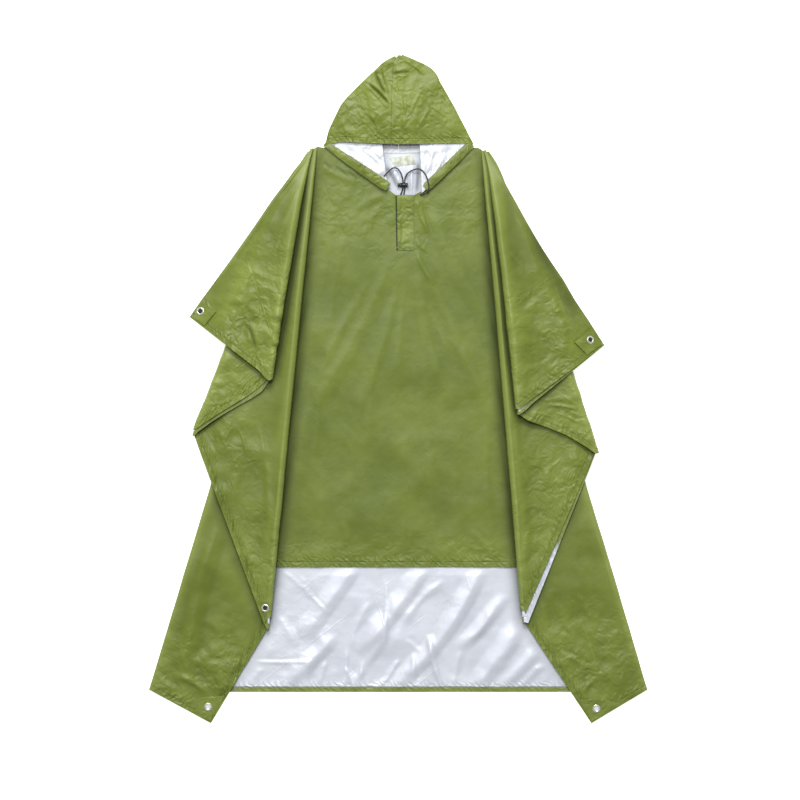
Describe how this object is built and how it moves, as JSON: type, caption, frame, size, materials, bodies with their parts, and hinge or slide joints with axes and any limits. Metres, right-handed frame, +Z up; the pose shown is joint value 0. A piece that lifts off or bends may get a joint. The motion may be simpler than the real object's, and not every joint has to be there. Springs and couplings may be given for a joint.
{
  "type": "rain poncho",
  "caption": "Hooded rain poncho laid flat and face up, its sides folded in fan pleats, with drawcord, cord lock and corner eyelets.",
  "frame": {"origin": "on the surface it lies on, under the middle of its bounding box", "axes": "+Z up from the surface, out of the poncho's front; +Y towards the hood's peak; +X towards the viewer's right when looking down on the front, which is the wearer's left"},
  "size_m": [1.1458, 1.5381, 0.0541],
  "materials": {
    "green_coated_cloth": "semi-gloss coated",
    "silver_coated_cloth": "silver coating, satin",
    "label_cloth": "matt",
    "eyelet_metal": "bright",
    "black_cord": "braided",
    "black_plastic": "satin"
  },
  "bodies": {
    "root": {"back_panel": "silver_coated_cloth", "casing_left": "green_coated_cloth", "casing_right": "green_coated_cloth", "cord_lock_body": "black_plastic", "cord_lock_button": "black_plastic", "drawcord_left": "black_cord", "drawcord_right": "black_cord", "eyelet_A_left": "eyelet_metal", "eyelet_A_right": "eyelet_metal", "eyelet_D_left": "eyelet_metal", "eyelet_E_left": "eyelet_metal", "eyelet_E_right": "eyelet_metal", "front_panel": "green_coated_cloth", "hood_left": "green_coated_cloth", "hood_right": "green_coated_cloth", "neck_label": "label_cloth", "patch_A_left": "green_coated_cloth", "patch_A_right": "green_coated_cloth", "patch_E_left": "green_coated_cloth", "patch_E_right": "green_coated_cloth", "placket": "green_coated_cloth"}
  },
  "joints": []
}
